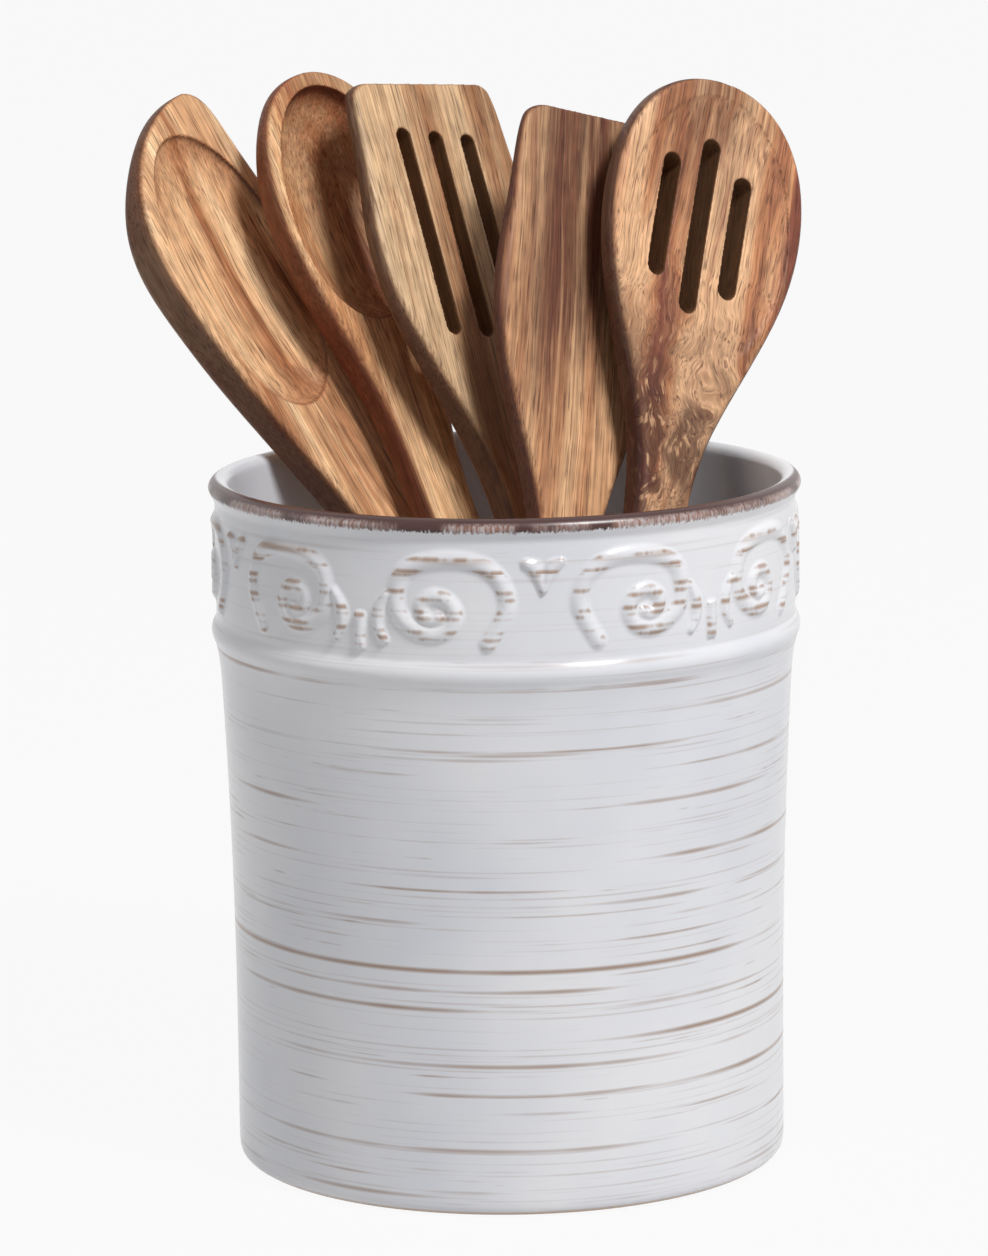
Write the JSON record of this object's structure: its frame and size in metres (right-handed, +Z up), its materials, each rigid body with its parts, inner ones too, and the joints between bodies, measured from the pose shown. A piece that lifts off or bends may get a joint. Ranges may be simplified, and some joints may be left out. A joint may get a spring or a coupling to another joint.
{
  "type": "utensil crock with wooden tools",
  "caption": "Round glazed stoneware crock with a scroll relief band under a brown-brushed lip, holding loose acacia cooking spoons, a slotted turner and a spatula that lift out.",
  "frame": {"origin": "on the crock's axis, at the flat face it stands on", "axes": "+Z up along the crock's axis, -Y to the front of the picture, +X to its right"},
  "size_m": [0.1781, 0.1708, 0.2754],
  "materials": {
    "white_glaze": "glossy white glaze with brown brushed lip and thin tan lines",
    "acacia_golden": "sanded and oiled",
    "acacia_brown": "sanded and oiled"
  },
  "bodies": {
    "crock": {"crock": "white_glaze"},
    "corner_spoon": {"corner_spoon": "acacia_golden"},
    "spoon": {"spoon": "acacia_brown"},
    "slotted_turner": {"slotted_turner": "acacia_golden"},
    "spatula": {"spatula": "acacia_brown"},
    "slotted_spoon": {"slotted_spoon": "acacia_golden"}
  },
  "joints": [
    {"name": "corner_spoon_lift", "type": "slide", "parent": "crock", "child": "corner_spoon", "axis": [-0.4918, 0.107, 0.8641], "range_m": [0, 0.2]},
    {"name": "spoon_lift", "type": "slide", "parent": "crock", "child": "spoon", "axis": [-0.3516, 0.312, 0.8826], "range_m": [0, 0.2]},
    {"name": "slotted_turner_lift", "type": "slide", "parent": "crock", "child": "slotted_turner", "axis": [-0.2495, 0.3695, 0.8951], "range_m": [0, 0.2]},
    {"name": "spatula_lift", "type": "slide", "parent": "crock", "child": "spatula", "axis": [0.0656, 0.3873, 0.9196], "range_m": [0, 0.2]},
    {"name": "slotted_spoon_lift", "type": "slide", "parent": "crock", "child": "slotted_spoon", "axis": [0.1555, 0.44, 0.8845], "range_m": [0, 0.2]}
  ]
}
